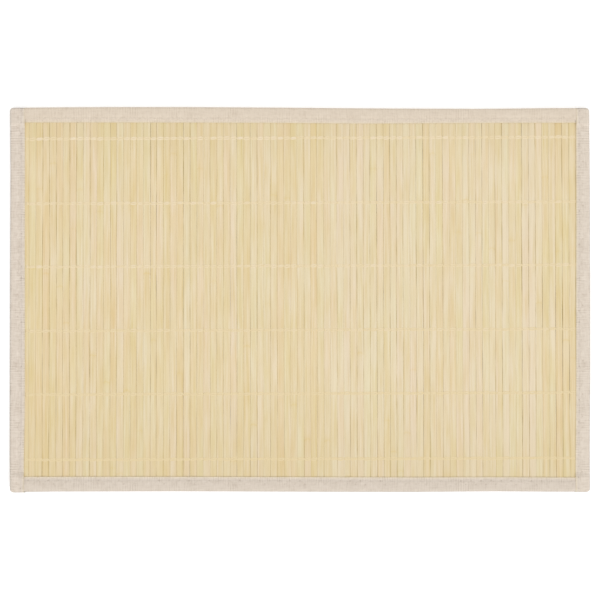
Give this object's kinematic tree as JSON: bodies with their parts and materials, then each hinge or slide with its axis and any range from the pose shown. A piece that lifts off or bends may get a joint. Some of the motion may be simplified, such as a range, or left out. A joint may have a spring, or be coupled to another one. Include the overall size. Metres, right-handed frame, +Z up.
{
  "type": "bamboo placemat",
  "caption": "Flat rectangular placemat of narrow bamboo slats held side by side by warp threads and bound all round with folded cotton tape.",
  "frame": {"origin": "on the resting surface, under the middle of the mat's outline", "axes": "+X along the long side, +Y along the slats towards the far side in the picture, +Z up out of the face that shows"},
  "size_m": [0.4507, 0.299, 0.0054],
  "materials": {
    "slats": "pale bamboo, planed smooth, unvarnished satin",
    "binding": "natural cream woven cotton tape, matt",
    "warp": "fine undyed cotton thread, matt"
  },
  "bodies": {
    "root": {"slat_panel": "slats", "tape_far": "binding", "tape_near": "binding", "tape_left": "binding", "tape_right": "binding", "warp_upper_1": "warp", "warp_upper_2": "warp", "warp_upper_3": "warp", "warp_upper_4": "warp", "warp_upper_5": "warp", "warp_upper_6": "warp", "warp_lower_1": "warp", "warp_lower_2": "warp", "warp_lower_3": "warp", "warp_lower_4": "warp", "warp_lower_5": "warp", "warp_lower_6": "warp"}
  },
  "joints": []
}
